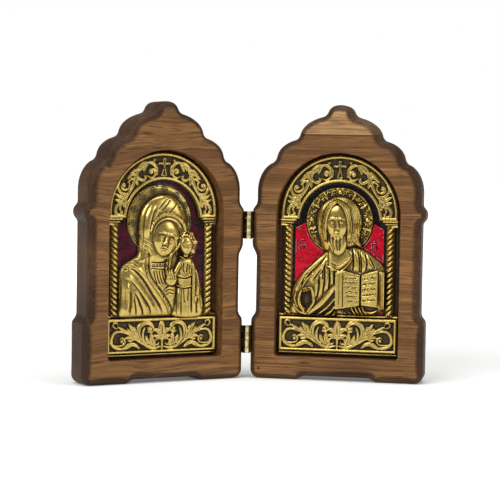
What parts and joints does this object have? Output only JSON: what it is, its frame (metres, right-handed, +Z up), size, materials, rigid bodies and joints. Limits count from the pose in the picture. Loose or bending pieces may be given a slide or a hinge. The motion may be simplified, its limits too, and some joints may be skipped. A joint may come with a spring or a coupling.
{
  "type": "folding diptych icon",
  "caption": "Folding wooden icon case with stepped arched leaves, brass relief plates on coloured enamel, joined by small brass hinges and standing half open.",
  "frame": {"origin": "on the table, under the middle of the standing case's footprint", "axes": "+Z up, +X to the right as one faces the icons, which look towards -Y"},
  "size_m": [0.1938, 0.0498, 0.15],
  "materials": {
    "wood": "oiled oak, dark at the rounded edges",
    "relief_brass": "cast, polished on the high parts and blackened in the hollows",
    "hinge_brass": "satin",
    "maroon_enamel": "glossy opaque dark maroon enamel",
    "red_enamel": "glossy opaque bright red enamel"
  },
  "bodies": {
    "left_leaf": {"left_panel": "wood", "left_icon_plate": "relief_brass", "left_enamel": "maroon_enamel", "bottom_hinge_leaf_left": "hinge_brass", "bottom_hinge_nail_left_1": "hinge_brass", "bottom_hinge_nail_left_2": "hinge_brass", "top_hinge_leaf_left": "hinge_brass", "top_hinge_nail_left_1": "hinge_brass", "top_hinge_nail_left_2": "hinge_brass", "bottom_hinge_pin": "hinge_brass", "top_hinge_pin": "hinge_brass"},
    "right_leaf": {"right_panel": "wood", "right_icon_plate": "relief_brass", "right_enamel": "red_enamel", "bottom_hinge_leaf_right": "hinge_brass", "bottom_hinge_nail_right_1": "hinge_brass", "bottom_hinge_nail_right_2": "hinge_brass", "top_hinge_leaf_right": "hinge_brass", "top_hinge_nail_right_1": "hinge_brass", "top_hinge_nail_right_2": "hinge_brass"}
  },
  "joints": [
    {"name": "leaf_hinge", "type": "hinge", "parent": "left_leaf", "child": "right_leaf", "pos_m": [0, 0.00672, 0.0528], "axis": [0, 0, 1], "range_deg": [-140, 40]}
  ]
}
